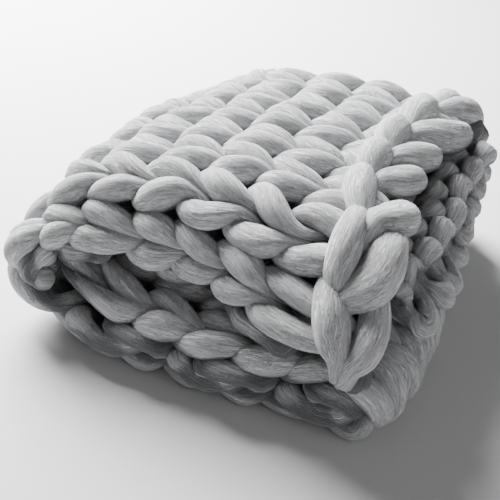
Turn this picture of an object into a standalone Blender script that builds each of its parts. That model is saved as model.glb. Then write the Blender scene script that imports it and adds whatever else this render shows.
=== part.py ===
"""Chunky knit blanket, folded in half twice and laid in a pile.

The cloth is one stockinette panel. A point of it is named by s, the distance
along its length from the free end with the edge chain, by t, the distance
across it from the front selvedge, and by n, the height above its middle
surface on the plain side. place() gives the point's position in the pile.
The solid's faces are the two sides of the cloth, with the stitches raised.

Metres. X runs along the front edge of the pile, Y away from the front, Z up.
The origin is under the middle of the pile, on the surface that it rests on.
"""

import bisect
import math
from collections import namedtuple

import bmesh
import bpy

COURSE = 0.0625
WALE = 0.055
WALES = 8
WIDTH = WALES * WALE
HALF = WIDTH / 2

Z_BASE = 0.0235
Z_LOWER = 0.0800
Z_UPPER = 0.1365
Z_TOP = 0.1925
LEFT_DROP = 0.013

TOP_END_X = 0.145
OUTER_X = -0.150
OUTER_OUT = 0.078
TURN_X = 0.168
TURN_OUT = 0.034
INNER_X = -0.132
INNER_OUT = 0.032

BEND_RADIUS = 0.042
FIRST_TIP = 0.065
LEG_LEAN = 0.80
LINES_PER_COURSE = 3
LEG_COLUMNS = (0.0, 0.18, 0.34, 0.5, 0.66, 0.82)
RIM = 0.010

WOOL_COLOUR = (0.40, 0.405, 0.42, 1.0)


def smooth(u):
    u = min(max(u, 0.0), 1.0)
    return u * u * (3 - 2 * u)


def straight(x0, z0, x1, z1, step=0.01):
    count = max(1, round(math.hypot(x1 - x0, z1 - z0) / step))
    return [(x0 + (x1 - x0) * k / count, z0 + (z1 - z0) * k / count) for k in range(count)]


def half_turn(x, z, out, rise, side, downwards, steps=24):
    """Half of an ellipse that bulges to the left (side -1) or right (side 1)."""
    points = []
    for k in range(steps):
        angle = math.pi / 2 - math.pi * k / steps
        if not downwards:
            angle = -angle
        points.append((x + side * out * math.cos(angle), z + rise * math.sin(angle)))
    return points


def through(knots, step=0.01):
    """A smooth run through the knots, spaced by about one step."""
    points = []
    last = len(knots) - 1
    for i in range(last):
        a, b = knots[max(i - 1, 0)], knots[i]
        c, d = knots[i + 1], knots[min(i + 2, last)]
        count = max(1, round(math.dist(b, c) / step))
        for k in range(count):
            u = k / count
            points.append(tuple(
                0.5 * (2 * b[j] + (c[j] - a[j]) * u
                       + (2 * a[j] - 5 * b[j] + 4 * c[j] - d[j]) * u ** 2
                       + (3 * b[j] - a[j] - 3 * c[j] + d[j]) * u ** 3)
                for j in (0, 1)))
    points.append(knots[-1])
    return points


def section():
    """The cloth's middle surface seen from the front, from the top end to the hidden end."""
    left_top = Z_TOP - LEFT_DROP
    middle = (left_top + Z_BASE) / 2
    runs = [
        ("top", through([(TOP_END_X, Z_TOP - 0.003), (0.08, Z_TOP + 0.002), (0.0, Z_TOP + 0.003),
                         (-0.08, Z_TOP - 0.002), (OUTER_X, left_top)])[:-1]),
        ("outer_fold", half_turn(OUTER_X, middle, OUTER_OUT, left_top - middle, -1, True, 36)),
        ("base", straight(OUTER_X, Z_BASE, TURN_X, Z_BASE)),
        ("turn", half_turn(TURN_X, (Z_BASE + Z_LOWER) / 2, TURN_OUT,
                           (Z_LOWER - Z_BASE) / 2, 1, False)),
        ("lower", straight(TURN_X, Z_LOWER, INNER_X, Z_LOWER)),
        ("inner_fold", half_turn(INNER_X, (Z_LOWER + Z_UPPER) / 2, INNER_OUT,
                                 (Z_UPPER - Z_LOWER) / 2, -1, False)),
        ("upper", through([(INNER_X, Z_UPPER), (0.0, Z_UPPER), (0.10, Z_UPPER + 0.001),
                           (0.136, Z_UPPER + 0.005), (0.165, Z_UPPER + 0.011),
                           (0.188, Z_UPPER + 0.012), (0.207, Z_UPPER + 0.001),
                           (0.218, Z_UPPER - 0.018), (0.223, Z_UPPER - 0.042)])),
    ]
    points, start = [], {}
    for name, run in runs:
        start[name] = len(points)
        points += run
    start["end"] = len(points) - 1
    along = [0.0]
    for a, b in zip(points, points[1:]):
        along.append(along[-1] + math.dist(a, b))
    return points, along, {name: along[i] for name, i in start.items()}


POINTS, ALONG, AT = section()
LENGTH = ALONG[-1]
OUTER_MID = (AT["outer_fold"] + AT["base"]) / 2
TURN_MID = (AT["turn"] + AT["lower"]) / 2
INNER_MID = (AT["inner_fold"] + AT["upper"]) / 2

# Each row: how the front and back margins bend towards the purl side at s.
Margin = namedtuple("Margin", "s front front_run stretch back back_run mid_y gather")
MARGINS = (
    Margin(0.030, 46, 0.104, 1.45, 56, 0.060, 0.0045, 1.0),
    Margin(0.085, 52, 0.102, 1.22, 42, 0.056, 0.0045, 1.0),
    Margin(0.165, 72, 0.102, 1.02, 38, 0.056, 0.0045, 1.0),
    Margin(AT["outer_fold"] - 0.06, 70, 0.102, 1.0, 42, 0.062, 0.0045, 1.0),
    Margin(AT["outer_fold"] + 0.05, 45, 0.095, 1.0, 48, 0.060, 0.0, 1.0),
    Margin(OUTER_MID + 0.02, 38, 0.070, 1.0, 36, 0.055, -0.002, 1.03),
    Margin(AT["base"] + 0.03, 9, 0.052, 1.0, 12, 0.055, -0.002, 1.06),
    Margin(AT["base"] + 0.20, 6, 0.050, 1.0, 12, 0.055, 0.000, 1.03),
    Margin(AT["turn"] - 0.02, 8, 0.050, 1.0, 10, 0.055, 0.004, 0.985),
    Margin(TURN_MID, 10, 0.050, 1.0, 12, 0.055, 0.000, 0.99),
    Margin(AT["lower"] + 0.02, 14, 0.080, 1.0, 6, 0.055, 0.000, 0.97),
    Margin(AT["lower"] + 0.08, 18, 0.090, 1.0, 6, 0.055, -0.002, 1.01),
    Margin(AT["lower"] + 0.16, 18, 0.090, 1.0, 6, 0.055, -0.006, 1.04),
    Margin(AT["inner_fold"] - 0.04, 18, 0.090, 1.0, 6, 0.055, -0.006, 1.03),
    Margin(INNER_MID, 0, 0.080, 1.0, 0, 0.055, 0.005, 0.835),
    Margin(AT["upper"] - 0.002, -12, 0.090, 1.0, 0, 0.055, 0.018, 0.73),
    Margin(AT["upper"] + 0.060, -6, 0.080, 1.0, 0, 0.055, 0.035, 0.68),
    Margin(AT["end"] - 0.125, 0, 0.050, 1.0, -6, 0.055, 0.034, 0.68),
    Margin(AT["end"] - 0.04, -8, 0.060, 1.0, -10, 0.055, 0.026, 0.76),
    Margin(AT["end"], -14, 0.060, 1.0, -14, 0.055, 0.012, 0.82),
)

# Each row: how far the valleys and crests of the two sides stand off the middle surface.
Relief = namedtuple("Relief", "s plain_low plain_high purl_low purl_high")
RELIEFS = (
    Relief(0.0, 0.009, 0.030, 0.011, 0.014),
    Relief(AT["outer_fold"], 0.009, 0.030, 0.011, 0.014),
    Relief(OUTER_MID, 0.009, 0.028, 0.007, 0.008),
    Relief(AT["base"] + 0.05, 0.010, 0.027, 0.009, 0.012),
    Relief(AT["turn"] - 0.02, 0.010, 0.027, 0.009, 0.011),
    Relief(TURN_MID, 0.009, 0.026, 0.008, 0.010),
    Relief(AT["lower"] + 0.04, 0.008, 0.022, 0.009, 0.012),
    Relief(AT["inner_fold"] - 0.08, 0.008, 0.020, 0.009, 0.012),
    Relief(AT["inner_fold"] - 0.01, 0.005, 0.008, 0.010, 0.013),
    Relief(INNER_MID, 0.004, 0.006, 0.010, 0.013),
    Relief(AT["upper"] + 0.01, 0.005, 0.010, 0.009, 0.013),
    Relief(AT["upper"] + 0.08, 0.006, 0.011, 0.009, 0.013),
    Relief(AT["upper"] + 0.14, 0.009, 0.024, 0.009, 0.013),
    Relief(AT["end"] - 0.20, 0.009, 0.022, 0.009, 0.014),
    Relief(AT["end"] - 0.12, 0.006, 0.008, 0.007, 0.019),
    Relief(AT["end"], 0.005, 0.007, 0.006, 0.020),
)

# Each row: one line of the edge chain across the free end of the top.
Chain = namedtuple("Chain", "s rise swell leaf")
CHAIN_LINES = (
    Chain(0.000, 0.004, 0.016, 0.5),
    Chain(0.012, 0.018, 0.018, 0.5),
    Chain(0.024, 0.016, 0.010, 0.25),
    Chain(0.036, 0.020, 0.018, 0.0),
    Chain(0.050, 0.008, 0.008, 0.0),
)


def blended(rows, s):
    """The row at s, eased between the two rows of the table around it."""
    if s <= rows[0].s:
        return rows[0]
    for a, b in zip(rows, rows[1:]):
        if s <= b.s:
            w = smooth((s - a.s) / (b.s - a.s))
            return type(a)(*(p + (q - p) * w for p, q in zip(a, b)))
    return rows[-1]


def on_section(s):
    s = min(max(s, 0.0), LENGTH)
    k = min(max(bisect.bisect_right(ALONG, s) - 1, 0), len(ALONG) - 2)
    w = (s - ALONG[k]) / (ALONG[k + 1] - ALONG[k])
    (xa, za), (xb, zb) = POINTS[k], POINTS[k + 1]
    return xa + (xb - xa) * w, za + (zb - za) * w


def section_frame(s):
    """Position and plain-side direction at s; past either end the cloth runs straight on."""
    inside = min(max(s, 0.0), LENGTH)
    x, z = on_section(inside)
    a, b = on_section(inside - 0.006), on_section(inside + 0.006)
    size = math.dist(a, b)
    tx, tz = (b[0] - a[0]) / size, (b[1] - a[1]) / size
    return x + tx * (s - inside), z + tz * (s - inside), tz, -tx


def bend(run, start, degrees):
    """How far out and how far down a margin reaches that starts to bend at start."""
    if run <= start:
        return run, 0.0, 0.0
    angle = math.radians(abs(degrees))
    over = run - start
    turned = min(over / BEND_RADIUS, angle)
    rest = over - turned * BEND_RADIUS
    out = start + BEND_RADIUS * math.sin(turned) + rest * math.cos(angle)
    down = BEND_RADIUS * (1 - math.cos(turned)) + rest * math.sin(angle)
    if degrees < 0:
        return out, -down, -turned
    return out, down, turned


def settle(x, y, z):
    """The pile isn't a box: its left fold sags forwards, its back corners draw in and sink."""
    left = smooth((-0.10 - x) / 0.10)
    right = smooth((x - 0.04) / 0.13)
    low = 1 - smooth((z - 0.11) / 0.05)
    waist = math.exp(-((z - 0.075) / 0.062) ** 2)
    x -= left * waist * 0.046 * smooth((-0.10 - y) / 0.12)
    x += left * 0.048 * smooth((y + 0.03) / 0.25)
    z -= 0.010 * smooth((y - 0.02) / 0.18) * smooth((z - 0.15) / 0.03)
    x -= right * low * 0.040 * smooth((y + 0.12) / 0.26)
    x -= right * (1 - low) * 0.004 * smooth((y + 0.02) / 0.2)
    z += (smooth((x - 0.13) / 0.05) * 0.016 * smooth((y - 0.02) / 0.14)
          * smooth((z - 0.02) / 0.06) * (1 - smooth((z - 0.175) / 0.03)))
    return x, y, z


def end_bow(s, y):
    """The top's free end bows: its middle lies further left than its corners."""
    fade = 1 - smooth(s / 0.08)
    if y < 0.05:
        return fade * 0.85 * (y - 0.05) ** 2
    return fade * min(1.8 * (y - 0.05) ** 2, 0.032)


def place(s, t, n):
    x, z, nx, nz = section_frame(s)
    m = blended(MARGINS, s)
    across = (t - HALF) * m.gather
    if across < 0:
        start = HALF * m.gather - m.front_run
        run = -across
        if run > start:
            run = start + (run - start) * m.stretch
        out, down, turned = bend(run, start, m.front)
        y, ny = m.mid_y - out, -math.sin(turned)
    else:
        out, down, turned = bend(across, HALF * m.gather - m.back_run, m.back)
        y, ny = m.mid_y + out, math.sin(turned)
    upright = math.cos(turned)
    y += ny * n
    x += nx * (upright * n - down) + end_bow(s, y)
    z += nz * (upright * n - down)
    x, y, z = settle(x, y, z)
    return x, y, max(z, 0.0)


def half_wale(t):
    """0 on the middle line of a wale, 1 on the line between two wales."""
    return abs(t / WALE - math.floor(min(t / WALE, WALES - 0.001)) - 0.5) * 2


def lean_at(s):
    """How far the lines of the knit lean: not at the free ends, nor inside the tight folds."""
    inner = 1 - math.exp(-((s - INNER_MID) / 0.06) ** 2)
    turn = 1 - 0.4 * math.exp(-((s - TURN_MID) / 0.06) ** 2)
    return smooth(s / 0.14) * smooth((LENGTH - 0.04 - s) / 0.14) * inner * turn


def plain_height(s, t):
    """Height of the knit legs, one leaf on each side of each V."""
    r = blended(RELIEFS, s)
    u = half_wale(t)
    phase = (s - FIRST_TIP) / COURSE - LEG_LEAN * u
    leaf = abs(math.cos(math.pi * phase)) ** 0.7
    if t < WALE * 0.2 or t > WIDTH - WALE * 0.2:
        fat = 0.75
    else:
        fat = math.sin(math.pi * (0.10 + 0.80 * u)) ** 0.8
    return r.plain_low + (r.plain_high - r.plain_low) * leaf * fat


def purl_height(s, t):
    """Height of the purl bumps, which alternate between a wale and its neighbours."""
    r = blended(RELIEFS, s)
    turn = (s - FIRST_TIP) / COURSE + round(2 * t / WALE) / 2
    return r.purl_low + (r.purl_high - r.purl_low) * (0.5 + 0.5 * math.cos(2 * math.pi * turn))


def plain_columns():
    return [WALE * (w + c) for w in range(WALES) for c in LEG_COLUMNS] + [WIDTH]


def purl_columns():
    return [WALE * k / 2 for k in range(2 * WALES + 1)]


def line_starts():
    """Where each line of the knit starts: first the chain's lines, then three to a course."""
    starts = [row.s for row in CHAIN_LINES]
    step = COURSE / LINES_PER_COURSE
    count = round((LENGTH - 0.004 - starts[-1]) / step)
    first = starts[-1]
    return starts + [first + (LENGTH - 0.004 - first) * k / count for k in range(1, count + 1)]


def snapped(start):
    """Lines sit on the creases and on both sides of each crest."""
    step = COURSE / LINES_PER_COURSE
    nearest = FIRST_TIP + COURSE / 2 + step * round((start - FIRST_TIP - COURSE / 2) / step)
    return start + (nearest - start) * lean_at(start)


def plain_line(start):
    base = snapped(start)
    lean = LEG_LEAN * COURSE * lean_at(start)
    row = []
    for t in plain_columns():
        s = base + lean * half_wale(t)
        row.append(place(s, t, plain_height(s, t)))
    return row


def chain_line(row):
    points = []
    for t in plain_columns():
        phase = t / WALE + row.leaf
        leaf = abs(math.sin(math.pi * phase)) ** 0.8
        points.append(place(row.s, t, row.rise + row.swell * leaf))
    return points


def purl_line(start):
    shift = 0.8 * LEG_LEAN * COURSE * lean_at(start)
    s = snapped(start) + shift
    return [place(s, t, -purl_height(s, t)) for t in purl_columns()]


def rim_point(start, t):
    """The selvedge, with one swelling for the outer leg of each course."""
    s = snapped(start) + 0.9 * LEG_LEAN * COURSE * lean_at(start)
    phase = (s - FIRST_TIP) / COURSE - LEG_LEAN
    swell = RIM * (0.45 + 0.55 * abs(math.cos(math.pi * phase)))
    side = -swell if t == 0 else swell
    return place(s, t + side, 0.004)


def end_ring(s, plain, purl):
    """A narrower ring that rounds off a free end of the cloth."""
    row = [place(s, t, plain) for t in plain_columns()]
    row.append(place(s, WIDTH + 0.3 * RIM, 0.0))
    row += [place(s, t, -purl) for t in reversed(purl_columns())]
    row.append(place(s, -0.3 * RIM, 0.0))
    return row


def rings():
    rows = [end_ring(-0.010, 0.008, 0.006)]
    for index, start in enumerate(line_starts()):
        if index < len(CHAIN_LINES):
            row = chain_line(CHAIN_LINES[index])
        else:
            row = plain_line(start)
        row.append(rim_point(start, WIDTH))
        row += reversed(purl_line(start))
        row.append(rim_point(start, 0.0))
        rows.append(row)
    rows.append(end_ring(LENGTH + 0.008, 0.006, 0.008))
    return rows


def close_end(bm, ring, plain_count, flip):
    """Fill a free end with triangles between its plain side and its purl side."""
    plain = ring[:plain_count]
    purl = [ring[-1]] + list(reversed(ring[plain_count + 1:-1])) + [ring[plain_count]]
    i, j = 0, 0
    last_i, last_j = len(plain) - 1, len(purl) - 1
    while i < last_i or j < last_j:
        forward = j == last_j or (i < last_i and (i + 1) / last_i <= (j + 1) / last_j)
        if forward:
            face = (plain[i], plain[i + 1], purl[j])
            i += 1
        else:
            face = (plain[i], purl[j + 1], purl[j])
            j += 1
        bm.faces.new(face[::-1] if flip else face)


def middle_of(values):
    values = list(values)
    return (min(values) + max(values)) / 2


def blanket():
    bm = bmesh.new()
    points = rings()
    middle_x = middle_of(co[0] for row in points for co in row)
    middle_y = middle_of(co[1] for row in points for co in row)
    rows = [[bm.verts.new((x - middle_x, y - middle_y, z)) for x, y, z in row] for row in points]
    for a, b in zip(rows, rows[1:]):
        for k in range(len(a)):
            after = (k + 1) % len(a)
            bm.faces.new((a[k], b[k], b[after]))
            bm.faces.new((a[k], b[after], a[after]))
    plain_count = len(plain_columns())
    close_end(bm, rows[0], plain_count, False)
    close_end(bm, rows[-1], plain_count, True)
    bmesh.ops.recalc_face_normals(bm, faces=bm.faces)
    mesh = bpy.data.meshes.new("blanket")
    bm.to_mesh(mesh)
    bm.free()
    obj = bpy.data.objects.new("blanket", mesh)
    bpy.context.scene.collection.objects.link(obj)
    return obj


def wool():
    material = bpy.data.materials.new("grey merino wool")
    material.use_nodes = True
    shader = material.node_tree.nodes["Principled BSDF"]
    shader.inputs["Base Color"].default_value = WOOL_COLOUR
    shader.inputs["Roughness"].default_value = 0.92
    return material


def main():
    for obj in list(bpy.data.objects):
        bpy.data.objects.remove(obj, do_unlink=True)
    blanket().data.materials.append(wool())


if __name__ == "__main__":
    main()
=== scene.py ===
"""Dresses the folded chunky knit blanket: one fat strand of wool roving, knitted.

The cloth is one stockinette panel, folded in half twice. A point of it is
named by s, the distance along its length from the free end with the edge
chain, by t, the distance across it from the front selvedge, and by n, the
height above its middle surface on the plain side. place() gives the point's
position in the pile. The strand's route through a stitch is a short table in
those terms, and Geometry Nodes sweep the strand along it.
"""

import bisect
import math
import random
from collections import namedtuple

import bpy
from bpy.props import FloatProperty, FloatVectorProperty, IntProperty, PointerProperty
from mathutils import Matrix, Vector


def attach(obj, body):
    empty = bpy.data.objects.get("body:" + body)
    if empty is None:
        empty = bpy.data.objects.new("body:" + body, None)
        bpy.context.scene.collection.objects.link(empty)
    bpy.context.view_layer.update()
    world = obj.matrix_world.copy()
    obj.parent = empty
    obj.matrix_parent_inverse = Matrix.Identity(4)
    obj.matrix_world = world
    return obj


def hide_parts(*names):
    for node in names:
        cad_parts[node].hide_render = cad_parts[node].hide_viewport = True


bl_info = {
    "name": "Folded chunky knit blanket",
    "version": (1, 0, 0),
    "blender": (4, 5, 0),
    "location": "View3D > Sidebar > Blanket",
    "description": "Knits the folded blanket from one strand of roving and lights it",
    "category": "Object",
}

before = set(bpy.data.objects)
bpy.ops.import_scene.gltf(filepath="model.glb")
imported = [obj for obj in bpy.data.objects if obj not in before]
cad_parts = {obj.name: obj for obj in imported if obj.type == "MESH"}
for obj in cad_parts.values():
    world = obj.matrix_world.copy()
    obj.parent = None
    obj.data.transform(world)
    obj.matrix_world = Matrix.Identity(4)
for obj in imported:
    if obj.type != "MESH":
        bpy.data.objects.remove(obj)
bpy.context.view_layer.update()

# The knit: the size of a stitch and the panel's width. All sizes are in metres.
COURSE = 0.0625
WALE = 0.055
WALES = 8
WIDTH = WALES * WALE
HALF = WIDTH / 2

# The heights of the layers' middle surfaces, and how much lower the top is at the left.
Z_BASE = 0.0235
Z_LOWER = 0.0800
Z_UPPER = 0.1365
Z_TOP = 0.1925
LEFT_DROP = 0.013

# Where the top ends, where each fold begins, and how far it bulges out.
TOP_END_X = 0.145
OUTER_X = -0.150
OUTER_OUT = 0.078
TURN_X = 0.168
TURN_OUT = 0.034
INNER_X = -0.132
INNER_OUT = 0.032

# How the margins bend, and where the first course's V tips lie along the panel.
BEND_RADIUS = 0.042
FIRST_TIP = 0.065

# The middle of the pile's box in the map's own frame.
MIDDLE_X = -0.0201966
MIDDLE_Y = -0.0040571

# How far the pile's parts settle: see settle().
WAIST_Z = 0.075
WAIST_REACH = 0.062
WAIST_SAG = 0.046
LEFT_BACK_IN = 0.048
BACK_SINK = 0.010
RIGHT_BACK_IN = 0.040
DRAPE_BACK_IN = 0.004
DRAPE_LIFT = 0.016

# How far the inner fold's front slumps to the left, and how far along the cloth.
INNER_SLUMP = 0.024
INNER_SLUMP_REACH = 0.055

# The bow of the top's free end: where it starts, how it grows and where it fades.
BOW_MIDDLE_Y = 0.05
BOW_FRONT = 0.85
BOW_BACK = 1.8
BOW_BACK_MOST = 0.032
BOW_REACH = 0.08

# Steps for the slope along the section and for the direction of the plain side.
SLOPE_STEP = 0.006
SIDE_STEP = 0.004


def smooth(u):
    u = min(max(u, 0.0), 1.0)
    return u * u * (3 - 2 * u)


def rise(value, start, end):
    """0 where the value is before start, 1 where it is past end, eased between them."""
    return smooth((value - start) / (end - start))


def straight(x0, z0, x1, z1, step=0.01):
    count = max(1, round(math.hypot(x1 - x0, z1 - z0) / step))
    return [(x0 + (x1 - x0) * k / count, z0 + (z1 - z0) * k / count) for k in range(count)]


def half_turn(x, z, out, high, side, downwards, steps=24):
    """Half of an ellipse that bulges to the left (side -1) or right (side 1)."""
    points = []
    for k in range(steps):
        angle = math.pi / 2 - math.pi * k / steps
        if not downwards:
            angle = -angle
        points.append((x + side * out * math.cos(angle), z + high * math.sin(angle)))
    return points


def eased(a, b, c, d, u):
    """The value at u between b and c on a smooth run through a, b, c and d."""
    return 0.5 * (2 * b + (c - a) * u + (2 * a - 5 * b + 4 * c - d) * u ** 2
                  + (3 * b - a - 3 * c + d) * u ** 3)


def through(knots, step=0.01):
    """A smooth run through the knots, spaced by about one step."""
    points = []
    last = len(knots) - 1
    for i in range(last):
        a, b = knots[max(i - 1, 0)], knots[i]
        c, d = knots[i + 1], knots[min(i + 2, last)]
        count = max(1, round(math.dist(b, c) / step))
        for k in range(count):
            points.append(tuple(eased(a[j], b[j], c[j], d[j], k / count) for j in (0, 1)))
    points.append(knots[-1])
    return points


def section():
    """The cloth's middle surface seen from the front, from the top end to the hidden end."""
    left_top = Z_TOP - LEFT_DROP
    middle = (left_top + Z_BASE) / 2
    runs = [
        ("top", through([(TOP_END_X, Z_TOP - 0.003), (0.08, Z_TOP + 0.002), (0.0, Z_TOP + 0.003),
                         (-0.08, Z_TOP - 0.002), (OUTER_X, left_top)])[:-1]),
        ("outer_fold", half_turn(OUTER_X, middle, OUTER_OUT, left_top - middle, -1, True, 36)),
        ("base", straight(OUTER_X, Z_BASE, TURN_X, Z_BASE)),
        ("turn", half_turn(TURN_X, (Z_BASE + Z_LOWER) / 2, TURN_OUT,
                           (Z_LOWER - Z_BASE) / 2, 1, False)),
        ("lower", straight(TURN_X, Z_LOWER, INNER_X, Z_LOWER)),
        ("inner_fold", half_turn(INNER_X, (Z_LOWER + Z_UPPER) / 2, INNER_OUT,
                                 (Z_UPPER - Z_LOWER) / 2, -1, False)),
        ("upper", through([(INNER_X, Z_UPPER), (0.0, Z_UPPER), (0.10, Z_UPPER + 0.001),
                           (0.136, Z_UPPER + 0.005), (0.165, Z_UPPER + 0.011),
                           (0.188, Z_UPPER + 0.012), (0.207, Z_UPPER + 0.001),
                           (0.218, Z_UPPER - 0.018), (0.223, Z_UPPER - 0.042)])),
    ]
    points, start = [], {}
    for name, run in runs:
        start[name] = len(points)
        points += run
    start["end"] = len(points) - 1
    along = [0.0]
    for a, b in zip(points, points[1:]):
        along.append(along[-1] + math.dist(a, b))
    return points, along, {name: along[i] for name, i in start.items()}


POINTS, ALONG, AT = section()
LENGTH = ALONG[-1]
OUTER_MID = (AT["outer_fold"] + AT["base"]) / 2
TURN_MID = (AT["turn"] + AT["lower"]) / 2
INNER_MID = (AT["inner_fold"] + AT["upper"]) / 2

# Each row: how the front and back margins bend towards the purl side at s.
Margin = namedtuple("Margin", "s front front_run stretch back back_run mid_y gather")
MARGINS = (
    Margin(0.030, 46, 0.104, 1.45, 56, 0.060, 0.0045, 1.0),
    Margin(0.085, 52, 0.102, 1.22, 42, 0.056, 0.0045, 1.0),
    Margin(0.165, 72, 0.102, 1.02, 38, 0.056, 0.0045, 1.0),
    Margin(AT["outer_fold"] - 0.06, 70, 0.102, 1.0, 42, 0.062, 0.0045, 1.0),
    Margin(AT["outer_fold"] + 0.05, 45, 0.095, 1.0, 48, 0.060, 0.0, 1.0),
    Margin(OUTER_MID + 0.02, 38, 0.070, 1.0, 36, 0.055, -0.002, 1.03),
    Margin(AT["base"] + 0.03, 9, 0.052, 1.0, 12, 0.055, -0.002, 1.06),
    Margin(AT["base"] + 0.20, 6, 0.050, 1.0, 12, 0.055, 0.000, 1.03),
    Margin(AT["turn"] - 0.02, 8, 0.050, 1.0, 10, 0.055, 0.004, 0.985),
    Margin(TURN_MID, 10, 0.050, 1.0, 12, 0.055, 0.000, 0.99),
    Margin(AT["lower"] + 0.02, 14, 0.080, 1.0, 6, 0.055, 0.000, 0.97),
    Margin(AT["lower"] + 0.08, 18, 0.090, 1.0, 6, 0.055, -0.002, 1.01),
    Margin(AT["lower"] + 0.16, 18, 0.090, 1.0, 6, 0.055, -0.006, 1.04),
    Margin(AT["inner_fold"] - 0.04, 18, 0.090, 1.0, 6, 0.055, -0.006, 1.03),
    Margin(INNER_MID, 0, 0.080, 1.0, 0, 0.055, 0.003, 0.90),
    Margin(AT["upper"] - 0.002, -12, 0.090, 1.0, 0, 0.055, 0.012, 0.79),
    Margin(AT["upper"] + 0.060, -6, 0.080, 1.0, 0, 0.055, 0.032, 0.71),
    Margin(AT["end"] - 0.125, 0, 0.050, 1.0, -6, 0.055, 0.034, 0.68),
    Margin(AT["end"] - 0.04, -8, 0.060, 1.0, -10, 0.055, 0.026, 0.76),
    Margin(AT["end"], -14, 0.060, 1.0, -14, 0.055, 0.012, 0.82),
)

# Each row: how the strand's heights on the two sides are pressed at s, and its thickness.
Press = namedtuple("Press", "s plain purl fat")
PRESSES = (
    Press(0.0, 1.0, 1.0, 1.0),
    Press(OUTER_MID, 1.0, 1.15, 1.06),
    Press(AT["base"] + 0.05, 0.95, 1.0, 1.0),
    Press(TURN_MID, 0.95, 0.8, 1.0),
    Press(AT["inner_fold"] - 0.06, 0.9, 1.0, 0.95),
    Press(INNER_MID, 0.35, 1.0, 0.75),
    Press(AT["upper"] + 0.06, 0.45, 1.0, 0.75),
    Press(AT["upper"] + 0.14, 0.85, 1.0, 0.80),
    Press(AT["end"] - 0.15, 0.85, 1.0, 0.85),
    Press(AT["end"] - 0.10, 0.5, 1.3, 0.97),
    Press(AT["end"], 0.4, 1.2, 0.97),
)

# Half of a stitch, from the middle of its foot on the purl side, up one leg of
# its V on the plain side, to the middle of its head. across is in half wales
# from the wale's middle line, along in courses from the tip of the V.
Pass = namedtuple("Pass", "across along height wide thick")
HALF_STITCH = (
    Pass(1.00, -0.26, -0.0095, 0.0160, 0.0135),
    Pass(0.62, -0.30, -0.0075, 0.0144, 0.0122),
    Pass(0.30, -0.25, -0.0015, 0.0098, 0.0098),
    Pass(0.15, -0.08, 0.0050, 0.0076, 0.0092),
    Pass(0.17, 0.12, 0.0100, 0.0094, 0.0120),
    Pass(0.30, 0.36, 0.0130, 0.0136, 0.0163),
    Pass(0.46, 0.62, 0.0138, 0.0162, 0.0186),
    Pass(0.59, 0.86, 0.0127, 0.0157, 0.0176),
    Pass(0.66, 1.06, 0.0085, 0.0132, 0.0142),
    Pass(0.61, 1.24, 0.0010, 0.0108, 0.0112),
    Pass(0.36, 1.38, -0.0065, 0.0132, 0.0120),
    Pass(0.00, 1.46, -0.0105, 0.0160, 0.0135),
)

FOOT = HALF_STITCH[0]
HEAD = HALF_STITCH[-1]

# How much the two legs of a stitch stray from the table at most: in fatness,
# in height, along in courses and sideways in half wales.
FAT_STRAY = 0.10
LIFT_STRAY = 0.0018
SLIDE_STRAY = 0.08
ASIDE_STRAY = 0.08

# Each row: a wave in how the rows, or the wales, stray from an even grid. along
# and across are its angle per metre along the panel and across it.
Wave = namedtuple("Wave", "size along across phase")
ROW_WAVES = (Wave(0.0040, 9, 27, 0.6), Wave(0.0026, -23, 61, 2.1))
WALE_WAVES = (Wave(0.0034, 24, 15, 1.3), Wave(0.0022, 71, -19, 0.4))
WALE_WAVE_MARGIN = 0.05

# The strand's way round the selvedge to the next course.
SELVEDGE = (
    Pass(1.10, -0.12, -0.0050, 0.0125, 0.0120),
    Pass(1.20, 0.10, 0.0000, 0.0125, 0.0130),
    Pass(1.20, 0.42, 0.0000, 0.0125, 0.0130),
    Pass(1.10, 0.62, -0.0050, 0.0125, 0.0120),
)

# The closing strand of the hidden end, where it passes through a head.
BINDING = Pass(0.0, -0.14, -0.0020, 0.0110, 0.0105)

# How far the strand's thin end reaches past its last knot, and how thin it gets.
TAIL = 0.006
TAIL_SHARE = 0.25

# One loop of the edge chain. share is in gaps between this V's tip and the next one's,
# beyond is added to it in wales, and inward is the distance from the line
# through the tips towards the cloth. side is 1 on the V's leg next to the
# cloth, -1 on the other leg, and 0 where the strand runs between them.
Loop = namedtuple("Loop", "side share beyond inward height wide thick")
CHAIN_LOOP = (
    Loop(0, 0.00, -0.10, 0.002, 0.0120, 0.0082, 0.0092),
    Loop(1, 0.15, 0.03, 0.003, 0.0205, 0.0118, 0.0130),
    Loop(1, 0.40, 0.05, 0.007, 0.0258, 0.0168, 0.0175),
    Loop(1, 0.70, 0.10, 0.009, 0.0262, 0.0178, 0.0180),
    Loop(1, 1.00, 0.14, 0.011, 0.0205, 0.0140, 0.0145),
    Loop(1, 1.00, 0.33, 0.010, 0.0105, 0.0106, 0.0108),
    Loop(0, 1.00, 0.46, 0.000, 0.0020, 0.0105, 0.0095),
    Loop(0, 0.90, 0.40, -0.008, -0.0060, 0.0110, 0.0110),
    Loop(-1, 0.45, 0.75, -0.020, -0.0090, 0.0130, 0.0130),
    Loop(-1, 0.15, 0.92, -0.030, 0.0030, 0.0160, 0.0155),
    Loop(-1, 0.05, 0.66, -0.030, 0.0135, 0.0194, 0.0184),
    Loop(-1, 0.00, 0.34, -0.019, 0.0195, 0.0194, 0.0186),
    Loop(-1, 0.00, 0.10, -0.006, 0.0205, 0.0142, 0.0142),
    Loop(0, 0.00, -0.10, -0.001, 0.0110, 0.0085, 0.0090),
    Loop(0, 0.30, 0.00, 0.000, 0.0020, 0.0080, 0.0080),
    Loop(0, 0.70, 0.00, 0.000, -0.0020, 0.0085, 0.0080),
)

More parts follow.
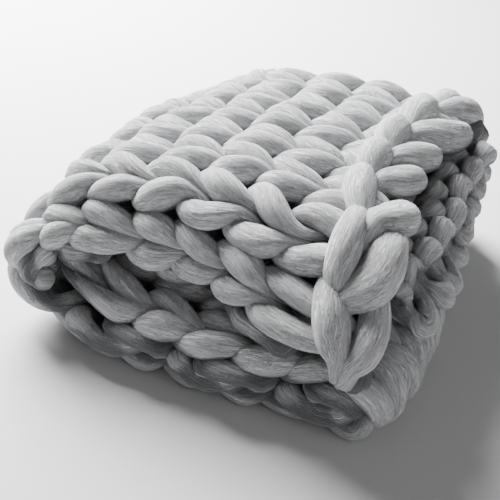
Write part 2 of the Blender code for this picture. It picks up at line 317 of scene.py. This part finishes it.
# The tips of the chain's V shapes: how many wales from the front selvedge, s, how
# fat the V's two legs are, and how far each leans away from the line of tips.
Tip = namedtuple("Tip", "wales s near far lean spread")
EDGE_TIPS = (
    Tip(0.07, 0.0187, 1.06, 0.86, 0.50, 0.62),
    Tip(0.86, 0.0288, 1.00, 1.14, 0.70, 1.00),
    Tip(1.73, 0.0220, 1.04, 1.12, 1.30, 1.00),
    Tip(3.12, 0.0302, 1.10, 0.94, 1.50, 1.05),
    Tip(4.17, 0.0304, 1.14, 0.94, 1.60, 1.05),
    Tip(5.36, 0.0307, 1.24, 1.10, 1.20, 1.10),
    Tip(6.75, 0.0335, 1.10, 1.22, 0.80, 0.45),
    Tip(7.35, 0.0280, 1.00, 1.00, 1.00, 1.00),
)

# Each row: a piece of the knit, by its first course and the one after its last.
Panel = namedtuple("Panel", "name first after")
PANELS = (
    Panel("knit_top", -1, 5),
    Panel("knit_left_fold", 5, 10),
    Panel("knit_base", 10, 15),
    Panel("knit_lower_layer", 15, 20),
    Panel("knit_upper_layer", 20, 26),
)
COURSES = PANELS[-1].after

# The feet of the first course, under the edge chain, crowd together from here on,
# to this share of their distances.
EDGE_S = 0.016
EDGE_CROWDING = 0.35

# The strand's sides are blended over this many line points each way.
SIDE_BLEND = 3

# Each row: how a piece is swept. points and steps are added to the wool's settings,
# and seed moves the noise of its locks.
Sweep = namedtuple("Sweep", "points steps seed")
CHAIN_SWEEP = Sweep(8, 1, 77.0)
PANEL_SEED_STEP = 11.0

# The attributes that only the sweep needs, which are taken off its mesh.
SWEEP_ATTRIBUTES = ("side", "up", "wide", "thick", "height", "along", "centre", "turn")

# The locks of fibre: how the noise that swells the strand is stretched and how fine it is.
LOCKS_ROUND = 1.5
LOCKS_ALONG = 7.0
LOCKS_SCALE = 1.35

# The noise that bends the fibres sideways: how fine it is round the strand and along it.
BENDS_ROUND = 2.5
BENDS_ALONG = 55.0

# Each row: a layer of fibres. around and along are how fine its noise is round the
# strand and along it, detail is the noise's own detail, and shift moves the noise.
# shade and relief are its shares in the colour and in the bump.
Fibres = namedtuple("Fibres", "around along detail shift shade relief")
FUZZ = Fibres(22.0, 190.0, 2.0, 150.0, 0.40, 0.35)
FINE = Fibres(15.0, 48.0, 3.0, 0.0, 0.42, 0.60)
STRANDS = Fibres(8.0, 17.0, 3.0, 40.0, 0.38, 1.00)
LOCKS = Fibres(3.0, 6.0, 2.0, 90.0, 0.30, 1.80)

# Each row: the dark lines between a layer's fibres, by their width in the noise's
# values and their depth.
Lines = namedtuple("Lines", "width depth")
FINE_LINES = Lines(0.05, 0.5)
STRAND_LINES = Lines(0.04, 0.9)

# The shade of the wool before its fibres, how much the lines between fibres take off it, and how
# much painted shade the creases get.
MIDDLE_SHADE = 0.54
LINE_SHADE = 0.19
CREASE_SHADE = 0.52

# How deep the lines are in the bump.
LINE_RELIEF = 0.35

# Each row: a square light, by the length of its side and its place.
Lamp = namedtuple("Lamp", "name size x y z")
KEY_LAMP = Lamp("key light", 1.2, -1.20, 0.78, 1.15)
FILL_LAMP = Lamp("fill light", 1.6, 1.9, -0.7, 1.0)
LAMPS_AIM = Vector((0, 0, 0.1))

# The camera, fitted to the photo.
CAMERA_EYE = Vector((0.42979, -0.82999, 0.73409))
CAMERA_AIM = Vector((0.08270, -0.20845, 0.20997))
LENS_MM = 64.8
SENSOR_MM = 36.0

# How far the floor reaches each way.
FLOOR_REACH = 20.0


def blended(rows, s):
    """The row at s, eased between the two rows of the table around it."""
    if s <= rows[0].s:
        return rows[0]
    for a, b in zip(rows, rows[1:]):
        if s <= b.s:
            w = smooth((s - a.s) / (b.s - a.s))
            return type(a)(*(p + (q - p) * w for p, q in zip(a, b)))
    return rows[-1]


def on_section(s):
    s = min(max(s, 0.0), LENGTH)
    k = min(max(bisect.bisect_right(ALONG, s) - 1, 0), len(ALONG) - 2)
    w = (s - ALONG[k]) / (ALONG[k + 1] - ALONG[k])
    (xa, za), (xb, zb) = POINTS[k], POINTS[k + 1]
    return xa + (xb - xa) * w, za + (zb - za) * w


def section_frame(s):
    """Position and plain-side direction at s; past either end the cloth runs straight on."""
    inside = min(max(s, 0.0), LENGTH)
    x, z = on_section(inside)
    a, b = on_section(inside - SLOPE_STEP), on_section(inside + SLOPE_STEP)
    size = math.dist(a, b)
    tx, tz = (b[0] - a[0]) / size, (b[1] - a[1]) / size
    return x + tx * (s - inside), z + tz * (s - inside), tz, -tx


def bend(run, start, degrees):
    """How far out and how far down a margin reaches that starts to bend at start."""
    if run <= start:
        return run, 0.0, 0.0
    angle = math.radians(abs(degrees))
    over = run - start
    turned = min(over / BEND_RADIUS, angle)
    rest = over - turned * BEND_RADIUS
    out = start + BEND_RADIUS * math.sin(turned) + rest * math.cos(angle)
    down = BEND_RADIUS * (1 - math.cos(turned)) + rest * math.sin(angle)
    if degrees < 0:
        return out, -down, -turned
    return out, down, turned


def settle(x, y, z):
    """The pile isn't a box: its left fold sags forwards, its back corners draw in and sink."""
    left = rise(x, -0.10, -0.20)
    right = rise(x, 0.04, 0.17)
    low = 1 - rise(z, 0.11, 0.16)
    waist = math.exp(-((z - WAIST_Z) / WAIST_REACH) ** 2)
    x -= left * waist * WAIST_SAG * rise(y, -0.10, -0.22)
    x += left * LEFT_BACK_IN * rise(y, -0.03, 0.22)
    z -= BACK_SINK * rise(y, 0.02, 0.20) * rise(z, 0.15, 0.18)
    x -= right * low * RIGHT_BACK_IN * rise(y, -0.12, 0.14)
    x -= right * (1 - low) * DRAPE_BACK_IN * rise(y, -0.02, 0.18)
    drape = rise(x, 0.13, 0.18) * rise(z, 0.02, 0.08) * (1 - rise(z, 0.175, 0.205))
    z += drape * DRAPE_LIFT * rise(y, 0.02, 0.16)
    return x, y, z


def end_bow(s, y):
    """The top's free end bows: its middle lies further left than its corners."""
    fade = 1 - rise(s, 0, BOW_REACH)
    away = (y - BOW_MIDDLE_Y) ** 2
    if y < BOW_MIDDLE_Y:
        return fade * BOW_FRONT * away
    return fade * min(BOW_BACK * away, BOW_BACK_MOST)


def inner_slump(s, y):
    """The inner fold's front slumps into the outer fold's mouth."""
    near = math.exp(-((s - INNER_MID) / INNER_SLUMP_REACH) ** 2)
    return INNER_SLUMP * near * rise(y, -0.02, -0.18)


def place(s, t, n):
    x, z, nx, nz = section_frame(s)
    m = blended(MARGINS, s)
    across = (t - HALF) * m.gather
    if across < 0:
        start = HALF * m.gather - m.front_run
        run = -across
        if run > start:
            run = start + (run - start) * m.stretch
        out, down, turned = bend(run, start, m.front)
        y, ny = m.mid_y - out, -math.sin(turned)
    else:
        out, down, turned = bend(across, HALF * m.gather - m.back_run, m.back)
        y, ny = m.mid_y + out, math.sin(turned)
    upright = math.cos(turned)
    y += ny * n
    x += nx * (upright * n - down) + end_bow(s, y)
    z += nz * (upright * n - down)
    x -= inner_slump(s, y)
    x, y, z = settle(x, y, z)
    return Vector((x - MIDDLE_X, y - MIDDLE_Y, z))


def plain_side(s, t):
    return (place(s, t, SIDE_STEP) - place(s, t, -SIDE_STEP)).normalized()


Knot = namedtuple("Knot", "s t n wide thick")


def pressed(s, t, height, wide, thick):
    p = blended(PRESSES, s)
    ds, dt = wander(s, t)
    n = height * (p.plain if height > 0 else p.purl)
    if s < EDGE_S:
        s = EDGE_S + (s - EDGE_S) * EDGE_CROWDING
    return Knot(s + ds, t + dt, n, wide * p.fat, thick * p.fat)


def waved(waves, s, t):
    return sum(w.size * math.sin(w.across * t + w.along * s + w.phase) for w in waves)


def wander(s, t):
    """How far the hand-made rows and wales stray from an even grid at a point."""
    inside = rise(t, 0, WALE_WAVE_MARGIN) * rise(t, WIDTH, WIDTH - WALE_WAVE_MARGIN)
    return waved(ROW_WAVES, s, t), waved(WALE_WAVES, s, t) * inside


def stitch_knots(course, wale, chance):
    """The strand's knots through one stitch, from its left foot to its right foot."""
    tip_s = FIRST_TIP + course * COURSE
    middle = (wale + 0.5) * WALE
    knots = []
    for side, rows in ((-1, HALF_STITCH[:-1]), (1, HALF_STITCH[::-1][:-1])):
        fat = 1 + FAT_STRAY * chance.uniform(-1, 1)
        lift = LIFT_STRAY * chance.uniform(-1, 1)
        slide = SLIDE_STRAY * chance.uniform(-1, 1)
        aside = ASIDE_STRAY * chance.uniform(-1, 1)
        for row in rows:
            leg = math.sin(math.pi * rise(row.along, FOOT.along, HEAD.along)) ** 2
            s = tip_s + (row.along + slide * leg) * COURSE
            t = middle + side * (row.across + aside * leg) * WALE / 2
            size = 1 + (fat - 1) * leg
            knots.append(pressed(s, t, row.height + lift * leg, row.wide * size, row.thick * size))
    return knots


def foot_knot(course, t):
    s = FIRST_TIP + (course + FOOT.along) * COURSE
    return pressed(s, t, FOOT.height, FOOT.wide, FOOT.thick)


def selvedge_knots(course, right):
    """The strand's way from this course to the next at one selvedge."""
    knots = []
    for row in SELVEDGE:
        s = FIRST_TIP + (course + row.along) * COURSE
        out = (row.across - 1) * WALE / 2
        t = WIDTH + out if right else -out
        knots.append(pressed(s, t, row.height, row.wide, row.thick))
    return knots


def first_knots(course, right):
    """The first two knots of a course, so that a piece's end laps over the next piece."""
    knots = []
    for row in HALF_STITCH[:2]:
        s = FIRST_TIP + (course + row.along) * COURSE
        inside = (1 - row.across) * WALE / 2
        t = WIDTH - inside if right else inside
        knots.append(pressed(s, t, row.height, row.wide, row.thick))
    return knots


def tail_knot(last):
    """The strand's thin end, just past its last knot at the front selvedge."""
    return Knot(last.s, last.t - TAIL, last.n, last.wide * TAIL_SHARE, last.thick * TAIL_SHARE)


def binding_knots():
    """The strand back to the front selvedge, through the heads of the last course."""
    knots = []
    for wale in reversed(range(WALES)):
        s = FIRST_TIP + (COURSES + BINDING.along) * COURSE
        knots.append(pressed(s, (wale + 0.5) * WALE, BINDING.height, BINDING.wide, BINDING.thick))
        knots.append(foot_knot(COURSES, wale * WALE))
    return knots


def panel_knots(panel):
    """The strand to and fro through the panel's courses, turning at the selvedges."""
    chance = random.Random(panel.name)
    knots = []
    for course in range(panel.first, panel.after):
        row = []
        for wale in range(WALES):
            row += stitch_knots(course, wale, chance)
        row.append(foot_knot(course, WIDTH))
        forwards = course % 2 == 1
        knots += row if forwards else row[::-1]
        if course + 1 < COURSES:
            knots += selvedge_knots(course, forwards)
    if panel.after < COURSES:
        knots += first_knots(panel.after, forwards)
    else:
        knots += binding_knots()
        knots.append(tail_knot(knots[-1]))
    if panel is PANELS[0]:
        knots.insert(0, tail_knot(knots[0]))
    return knots


def chain_knots():
    """The strand of the edge chain, loop after loop along the free end of the top."""
    knots = []
    for tip, after in zip(EDGE_TIPS, EDGE_TIPS[1:]):
        for row in CHAIN_LOOP:
            fat = {1: tip.near, 0: 1.0, -1: tip.far}[row.side]
            inward = row.inward * {1: tip.lean, 0: 1.0, -1: tip.spread}[row.side]
            s = tip.s + row.share * (after.s - tip.s) + inward
            t = (tip.wales + row.share * (after.wales - tip.wales) + row.beyond) * WALE
            knots.append(Knot(s, t, row.height, row.wide * fat, row.thick * fat))
    return knots


def fine_line(knots, steps):
    """The knots' smooth run, with some steps between each knot and the next."""
    line = []
    last = len(knots) - 1
    for i in range(last):
        a, b = knots[max(i - 1, 0)], knots[i]
        c, d = knots[i + 1], knots[min(i + 2, last)]
        for k in range(steps):
            line.append(Knot(*(eased(*four, k / steps) for four in zip(a, b, c, d))))
    line.append(knots[-1])
    return line


def strand_line(name, knots, steps):
    """A line mesh along the strand that carries what the sweep needs at each point."""
    line = fine_line(knots, steps)
    at = [place(k.s, k.t, k.n) for k in line]
    up = [plain_side(k.s, k.t) for k in line]
    last = len(at) - 1
    ahead = [(at[min(i + 1, last)] - at[max(i - 1, 0)]).normalized() for i in range(last + 1)]
    raw = [ahead[i].cross(up[i]) for i in range(last + 1)]
    sides, ups, along = [], [], [0.0]
    for i in range(last + 1):
        total = Vector()
        for j in range(max(i - SIDE_BLEND, 0), min(i + SIDE_BLEND, last) + 1):
            total += raw[j] * raw[j].length
        side = (total - ahead[i] * total.dot(ahead[i])).normalized()
        sides.append(side)
        ups.append(side.cross(ahead[i]))
    for a, b in zip(at, at[1:]):
        along.append(along[-1] + (b - a).length)
    mesh = bpy.data.meshes.new(name)
    mesh.from_pydata([tuple(p) for p in at], [(i, i + 1) for i in range(last)], [])
    for label, kind, values in (
        ("side", "FLOAT_VECTOR", [x for v in sides for x in v]),
        ("up", "FLOAT_VECTOR", [x for v in ups for x in v]),
        ("wide", "FLOAT", [k.wide for k in line]),
        ("thick", "FLOAT", [k.thick for k in line]),
        ("height", "FLOAT", [k.n for k in line]),
        ("along", "FLOAT", along),
    ):
        data = mesh.attributes.new(label, kind, "POINT").data
        data.foreach_set("vector" if kind == "FLOAT_VECTOR" else "value", values)
    return mesh


class Value:
    """Wraps a number socket, so that arithmetic on it adds Math nodes to its tree."""

    def __init__(self, net, socket):
        self.net, self.socket = net, socket

    def math(self, operation, *values):
        return self.net.add("ShaderNodeMath", {"operation": operation}, dict(enumerate(values)))

    def __add__(self, other):
        return self.math("ADD", self, other)

    __radd__ = __add__

    def __sub__(self, other):
        return self.math("SUBTRACT", self, other)

    def __rsub__(self, other):
        return self.math("SUBTRACT", other, self)

    def __mul__(self, other):
        return self.math("MULTIPLY", self, other)

    __rmul__ = __mul__

    def magnitude(self):
        return self.math("ABSOLUTE", self)

    def falling(self, width):
        """1 where the value is 0, down to 0 where it reaches width."""
        return self.net.add("ShaderNodeMapRange", {"interpolation_type": "SMOOTHSTEP"},
                            {"Value": self, "From Min": 0.0, "From Max": width,
                             "To Min": 1.0, "To Max": 0.0})

    def cosine(self):
        return self.math("COSINE", self)

    def sine(self):
        return self.math("SINE", self)


class Net:
    """Adds nodes to one tree, with their settings first and then their sockets."""

    def __init__(self, tree):
        self.tree = tree

    def node(self, kind, settings=None, sockets=None):
        node = self.tree.nodes.new(kind)
        for name, value in (settings or {}).items():
            setattr(node, name, value)
        for name, value in (sockets or {}).items():
            socket = node.inputs[name]
            if isinstance(value, Value):
                self.tree.links.new(value.socket, socket)
            elif isinstance(value, bpy.types.NodeSocket):
                self.tree.links.new(value, socket)
            else:
                socket.default_value = value
        return node

    def add(self, kind, settings=None, sockets=None, output=0):
        return Value(self, self.node(kind, settings, sockets).outputs[output])

    def attribute(self, name, kind):
        return self.add("GeometryNodeInputNamedAttribute", {"data_type": kind}, {"Name": name})

    def vector(self, operation, *values):
        return self.add("ShaderNodeVectorMath", {"operation": operation}, dict(enumerate(values)))

    def scaled(self, vector, amount):
        return self.add("ShaderNodeVectorMath", {"operation": "SCALE"},
                        {"Vector": vector, "Scale": amount})

    def stored(self, geometry, name, kind, value):
        return self.add("GeometryNodeStoreNamedAttribute",
                        {"data_type": kind, "domain": "POINT"},
                        {"Geometry": geometry, "Name": name, "Value": value})

    def ramp(self, factor, stops):
        node = self.node("ShaderNodeValToRGB", None, {"Fac": factor})
        elements = node.color_ramp.elements
        while len(elements) < len(stops):
            elements.new(0.5)
        for element, (position, colour) in zip(elements, stops):
            element.position = position
            element.color = (*colour, 1.0)
        return Value(self, node.outputs["Color"])


def sweep_tree():
    """Sweeps an oval strand along a line that carries its frame and its two widths."""
    tree = bpy.data.node_groups.new("strand sweep", "GeometryNodeTree")
    for name, kind in (("Line", "NodeSocketGeometry"), ("Points Round", "NodeSocketInt"),
                       ("Lock Depth", "NodeSocketFloat"), ("Twist", "NodeSocketFloat"),
                       ("Floor Softness", "NodeSocketFloat"), ("Seed", "NodeSocketFloat"),
                       ("Wool", "NodeSocketMaterial")):
        tree.interface.new_socket(name, in_out="INPUT", socket_type=kind)
    tree.interface.new_socket("Strand", in_out="OUTPUT", socket_type="NodeSocketGeometry")
    net = Net(tree)
    given = net.node("NodeGroupInput").outputs
    centre = net.add("GeometryNodeInputPosition")
    curve = net.add("GeometryNodeMeshToCurve", None, {"Mesh": given["Line"]})
    curve = net.stored(curve, "centre", "FLOAT_VECTOR", centre)
    ring = net.add("GeometryNodeCurvePrimitiveCircle", None, {"Resolution": given["Points Round"]})
    share = net.add("GeometryNodeSplineParameter")
    ring = net.stored(ring, "turn", "FLOAT", share)
    tube = net.add("GeometryNodeCurveToMesh", None,
                   {"Curve": curve, "Profile Curve": ring, "Fill Caps": True})
    angle = net.attribute("turn", "FLOAT") * (-2 * math.pi)
    along = net.attribute("along", "FLOAT")
    lay = angle + along * Value(net, given["Twist"])
    fibre = net.add("ShaderNodeCombineXYZ", None, {"X": lay.cosine(), "Y": lay.sine(), "Z": along})
    shifted = net.add("ShaderNodeCombineXYZ", None,
                      {"X": lay.cosine() * LOCKS_ROUND, "Y": lay.sine() * LOCKS_ROUND,
                       "Z": along * LOCKS_ALONG + Value(net, given["Seed"])})
    locks = net.add("ShaderNodeTexNoise", None,
                    {"Vector": shifted, "Scale": LOCKS_SCALE, "Detail": 2.0, "Roughness": 0.45})
    swell = 1.0 + (locks - 0.5) * Value(net, given["Lock Depth"])
    offset = net.vector(
        "ADD",
        net.scaled(net.attribute("side", "FLOAT_VECTOR"),
                   angle.cosine() * net.attribute("wide", "FLOAT")),
        net.scaled(net.attribute("up", "FLOAT_VECTOR"),
                   angle.sine() * net.attribute("thick", "FLOAT")))
    spot = net.vector("ADD", net.attribute("centre", "FLOAT_VECTOR"), net.scaled(offset, swell))
    parts = net.node("ShaderNodeSeparateXYZ", None, {"Vector": spot})
    height = net.add("ShaderNodeMath", {"operation": "SMOOTH_MAX"},
                     {0: parts.outputs["Z"], 1: 0.0, 2: given["Floor Softness"]})
    spot = net.add("ShaderNodeCombineXYZ", None,
                   {"X": parts.outputs["X"], "Y": parts.outputs["Y"], "Z": height})
    # How far the strand's surface lies out from the cloth's middle: the wool paints shade into the
    # creases where this is small.
    out = net.attribute("height", "FLOAT") + angle.sine() * net.attribute("thick", "FLOAT")
    tube = net.stored(tube, "fibre", "FLOAT_VECTOR", fibre)
    tube = net.stored(tube, "out", "FLOAT", out.magnitude())
    tube = net.add("GeometryNodeSetPosition", None, {"Geometry": tube, "Position": spot})
    tube = net.add("GeometryNodeSetShadeSmooth", None, {"Geometry": tube})
    tube = net.add("GeometryNodeRealizeInstances", None, {"Geometry": tube})
    tube = net.add("GeometryNodeSetMaterial", None, {"Geometry": tube, "Material": given["Wool"]})
    net.node("NodeGroupOutput", None, {"Strand": tube})
    return tree


def swept(name, line, tree, settings):
    """Runs the sweep on a line and leaves a plain mesh object of the strand."""
    holder = bpy.data.objects.new("line of " + name, line)
    bpy.context.scene.collection.objects.link(holder)
    modifier = holder.modifiers.new("strand sweep", "NODES")
    modifier.node_group = tree
    for item in tree.interface.items_tree:
        if item.in_out == "INPUT" and item.name in settings:
            modifier[item.identifier] = settings[item.name]
    bpy.context.view_layer.update()
    evaluated = holder.evaluated_get(bpy.context.evaluated_depsgraph_get())
    mesh = bpy.data.meshes.new_from_object(evaluated)
    mesh.name = name
    for label in SWEEP_ATTRIBUTES:
        found = mesh.attributes.get(label)
        if found:
            mesh.attributes.remove(found)
    if not mesh.materials:
        mesh.materials.append(settings["Wool"])
    bpy.data.objects.remove(holder)
    piece = bpy.data.objects.new(name, mesh)
    bpy.context.scene.collection.objects.link(piece)
    return piece


def wool_material(wool):
    """Combed roving: fine fibres along the strand, deeper locks, a soft sheen, and shade painted
    into the creases.
    """
    material = bpy.data.materials.new("grey merino roving")
    material.use_nodes = True
    net = Net(material.node_tree)
    shader = material.node_tree.nodes["Principled BSDF"]
    fibre = net.add("ShaderNodeAttribute", {"attribute_name": "fibre"}, None, "Vector")
    parts = net.node("ShaderNodeSeparateXYZ", None, {"Vector": fibre})
    x, y, z = (Value(net, parts.outputs[axis]) for axis in "XYZ")
    bends = net.add("ShaderNodeCombineXYZ", None,
                    {"X": x * BENDS_ROUND, "Y": y * BENDS_ROUND, "Z": z * BENDS_ALONG})
    bends = net.node("ShaderNodeTexNoise", None, {"Vector": bends, "Scale": 1.0, "Detail": 2.0})
    bends = net.node("ShaderNodeSeparateColor", None, {"Color": bends.outputs["Color"]})
    x = x + (Value(net, bends.outputs["Red"]) - 0.5) * wool.fibre_bends
    y = y + (Value(net, bends.outputs["Green"]) - 0.5) * wool.fibre_bends

    def streaks(layer):
        where = net.add("ShaderNodeCombineXYZ", None,
                        {"X": x * layer.around, "Y": y * layer.around,
                         "Z": z * layer.along + layer.shift})
        return net.add("ShaderNodeTexNoise", None,
                       {"Vector": where, "Scale": 1.0, "Detail": layer.detail, "Roughness": 0.6})

    def grooves(noise, lines):
        return (noise - 0.5).magnitude().falling(lines.width) * lines.depth

    noises = {layer: streaks(layer) for layer in (FUZZ, FINE, STRANDS, LOCKS)}
    lines = grooves(noises[FINE], FINE_LINES) + grooves(noises[STRANDS], STRAND_LINES)
    out = net.add("ShaderNodeAttribute", {"attribute_name": "out"}, None, "Fac")
    # The crease term is painted shade: the colour darkens where the surface lies close to the
    # cloth's middle, deep between the strands.
    shade = MIDDLE_SHADE - lines * LINE_SHADE - out.falling(wool.crease_shade_depth) * CREASE_SHADE
    relief = lines * -LINE_RELIEF
    for layer, noise in noises.items():
        shade = shade + (noise - 0.5) * layer.shade
        relief = relief + noise * layer.relief
    # The lowest stop is the painted crease shade. Partway into the creases the painted shade also
    # reaches the dark fibres' stop.
    colour = net.ramp(shade, ((0.05, tuple(wool.crease_shade_colour)),
                              (0.25, tuple(wool.shadow_colour)), (0.5, tuple(wool.colour)),
                              (0.75, tuple(wool.light_colour))))
    bump = net.add("ShaderNodeBump", None,
                   {"Strength": 1.0, "Distance": wool.fibre_relief, "Height": relief})
    material.node_tree.links.new(colour.socket, shader.inputs["Base Color"])
    material.node_tree.links.new(bump.socket, shader.inputs["Normal"])
    shader.inputs["Roughness"].default_value = 0.85
    shader.inputs["Specular IOR Level"].default_value = 0.25
    shader.inputs["Sheen Weight"].default_value = wool.sheen
    shader.inputs["Sheen Roughness"].default_value = 0.5
    return material


def floor_material(stage):
    material = bpy.data.materials.new("pale floor")
    material.use_nodes = True
    shader = material.node_tree.nodes["Principled BSDF"]
    shader.inputs["Base Color"].default_value = (*stage.floor_colour, 1.0)
    shader.inputs["Roughness"].default_value = 0.9
    return material


def finish_piece(piece):
    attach(piece, "root")
    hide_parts("blanket")


class WoolSettings(bpy.types.PropertyGroup):
    """The strand and its wool."""

    colour: FloatVectorProperty(
        name="Wool", description="Main colour of the wool", subtype="COLOR", size=3,
        min=0, max=1, default=(0.60, 0.605, 0.62))
    shadow_colour: FloatVectorProperty(
        name="Dark fibres", description="Colour of the darker fibres", subtype="COLOR", size=3,
        min=0, max=1, default=(0.25, 0.255, 0.27))
    # Painted shade: the colour painted deep between the strands, where the creases lie in shadow.
    crease_shade_colour: FloatVectorProperty(
        name="Creases", description="Colour deep between the strands", subtype="COLOR", size=3,
        min=0, max=1, default=(0.12, 0.122, 0.13))
    # Painted shade: how far over the cloth's middle the painted crease shade reaches.
    crease_shade_depth: FloatProperty(
        name="Crease depth", description="Height over the cloth's middle where creases end",
        subtype="DISTANCE", min=0, default=0.018)
    light_colour: FloatVectorProperty(
        name="Light fibres", description="Colour of the lighter fibres", subtype="COLOR", size=3,
        min=0, max=1, default=(0.80, 0.805, 0.815))
    fibre_relief: FloatProperty(
        name="Fibre relief", description="Depth of the lines between fibres",
        subtype="DISTANCE", min=0, default=0.0019)
    fibre_bends: FloatProperty(
        name="Fibre bends", description="How far the fibres stray sideways, in strand radii",
        min=0, default=0.45)
    sheen: FloatProperty(
        name="Sheen", description="Soft light on the stray fibres", min=0, max=1, default=0.25)
    lock_depth: FloatProperty(
        name="Lock depth", description="How far the locks of fibre stand out, as a share",
        min=0, max=0.6, default=0.28)
    twist: FloatProperty(
        name="Twist", description="Turn of the fibres along the strand, in radians per metre",
        default=9.0)
    floor_softness: FloatProperty(
        name="Floor softness", description="How softly the lowest loops flatten on the floor",
        subtype="DISTANCE", min=0, default=0.006)
    points_round: IntProperty(
        name="Points round", description="Mesh points round the strand", min=8, default=24)
    steps: IntProperty(
        name="Steps", description="Mesh steps between two knots of the route", min=1, default=3)


class StageSettings(bpy.types.PropertyGroup):
    """The floor, the lights and the camera."""

    floor_colour: FloatVectorProperty(
        name="Floor", description="Colour of the floor", subtype="COLOR", size=3,
        min=0, max=1, default=(0.66, 0.66, 0.665))
    key: FloatProperty(name="Key light", description="Power of the big light", unit="POWER",
                       min=0, default=285.0)
    fill: FloatProperty(name="Fill light", description="Power of the light from the right",
                        unit="POWER", min=0, default=11.0)
    world: FloatProperty(name="Room light", description="Strength of the even light",
                         min=0, default=0.14)


def strand_piece(name, knots, sweep, wool):
    """Adds one finished piece of the strand to the scene."""
    material = bpy.data.materials.get("grey merino roving") or wool_material(wool)
    tree = bpy.data.node_groups.get("strand sweep") or sweep_tree()
    settings = {"Points Round": wool.points_round + sweep.points, "Lock Depth": wool.lock_depth,
                "Twist": wool.twist, "Floor Softness": wool.floor_softness, "Seed": sweep.seed,
                "Wool": material}
    finish_piece(swept(name, strand_line(name, knots, wool.steps + sweep.steps), tree, settings))


class BLANKET_OT_knit(bpy.types.Operator):
    """Knit the panel's courses, piece after piece, from one strand"""

    bl_idname = "blanket.knit"
    bl_label = "Knit the panel"

    def execute(self, context):
        for number, panel in enumerate(PANELS):
            sweep = Sweep(0, 0, PANEL_SEED_STEP * number)
            strand_piece(panel.name, panel_knots(panel), sweep, context.scene.blanket_wool)
        return {"FINISHED"}


class BLANKET_OT_edge_chain(bpy.types.Operator):
    """Chain the free end of the top"""

    bl_idname = "blanket.edge_chain"
    bl_label = "Chain the edge"

    def execute(self, context):
        strand_piece("edge_chain", chain_knots(), CHAIN_SWEEP, context.scene.blanket_wool)
        return {"FINISHED"}


class BLANKET_OT_stage(bpy.types.Operator):
    """Lay the floor, hang the lights and place the camera"""

    bl_idname = "blanket.stage"
    bl_label = "Set the stage"

    def execute(self, context):
        stage = context.scene.blanket_stage
        mesh = bpy.data.meshes.new("floor")
        corners = [(x * FLOOR_REACH, y * FLOOR_REACH, 0)
                   for x, y in ((-1, -1), (1, -1), (1, 1), (-1, 1))]
        mesh.from_pydata(corners, [], [(0, 1, 2, 3)])
        floor = bpy.data.objects.new("floor", mesh)
        floor.data.materials.append(floor_material(stage))
        context.scene.collection.objects.link(floor)
        for row, power in ((KEY_LAMP, stage.key), (FILL_LAMP, stage.fill)):
            light = bpy.data.lights.new(row.name, "AREA")
            light.energy, light.size = power, row.size
            lamp = bpy.data.objects.new(row.name, light)
            lamp.location = (row.x, row.y, row.z)
            aim = LAMPS_AIM - lamp.location
            lamp.rotation_euler = aim.to_track_quat("-Z", "Y").to_euler()
            context.scene.collection.objects.link(lamp)
        world = bpy.data.worlds.new("room")
        world.use_nodes = True
        back = world.node_tree.nodes["Background"]
        back.inputs["Color"].default_value = (1.0, 1.0, 1.0, 1.0)
        back.inputs["Strength"].default_value = stage.world
        context.scene.world = world
        camera = bpy.data.cameras.new("camera")
        camera.lens, camera.sensor_width = LENS_MM, SENSOR_MM
        eye = bpy.data.objects.new("camera", camera)
        eye.location = CAMERA_EYE
        eye.rotation_euler = (CAMERA_AIM - CAMERA_EYE).to_track_quat("-Z", "Y").to_euler()
        context.scene.collection.objects.link(eye)
        context.scene.camera = eye
        return {"FINISHED"}


class BLANKET_PT_panel(bpy.types.Panel):
    """The blanket's sizes, colours and steps"""

    bl_idname = "BLANKET_PT_panel"
    bl_label = "Knit blanket"
    bl_space_type = "VIEW_3D"
    bl_region_type = "UI"
    bl_category = "Blanket"

    def draw(self, context):
        for group in (context.scene.blanket_wool, context.scene.blanket_stage):
            box = self.layout.box()
            for name in group.bl_rna.properties.keys():
                if name not in ("rna_type", "name"):
                    box.prop(group, name)
        for step in STEPS:
            self.layout.operator(step.bl_idname)


STEPS = (BLANKET_OT_knit, BLANKET_OT_edge_chain, BLANKET_OT_stage)
CLASSES = (WoolSettings, StageSettings, *STEPS, BLANKET_PT_panel)


def register():
    for cls in CLASSES:
        bpy.utils.register_class(cls)
    bpy.types.Scene.blanket_wool = PointerProperty(type=WoolSettings)
    bpy.types.Scene.blanket_stage = PointerProperty(type=StageSettings)


def unregister():
    del bpy.types.Scene.blanket_stage
    del bpy.types.Scene.blanket_wool
    for cls in reversed(CLASSES):
        bpy.utils.unregister_class(cls)


def main():
    register()
    bpy.ops.blanket.knit()
    bpy.ops.blanket.edge_chain()
    bpy.ops.blanket.stage()
    bpy.context.view_layer.update()


if __name__ == "__main__":
    main()
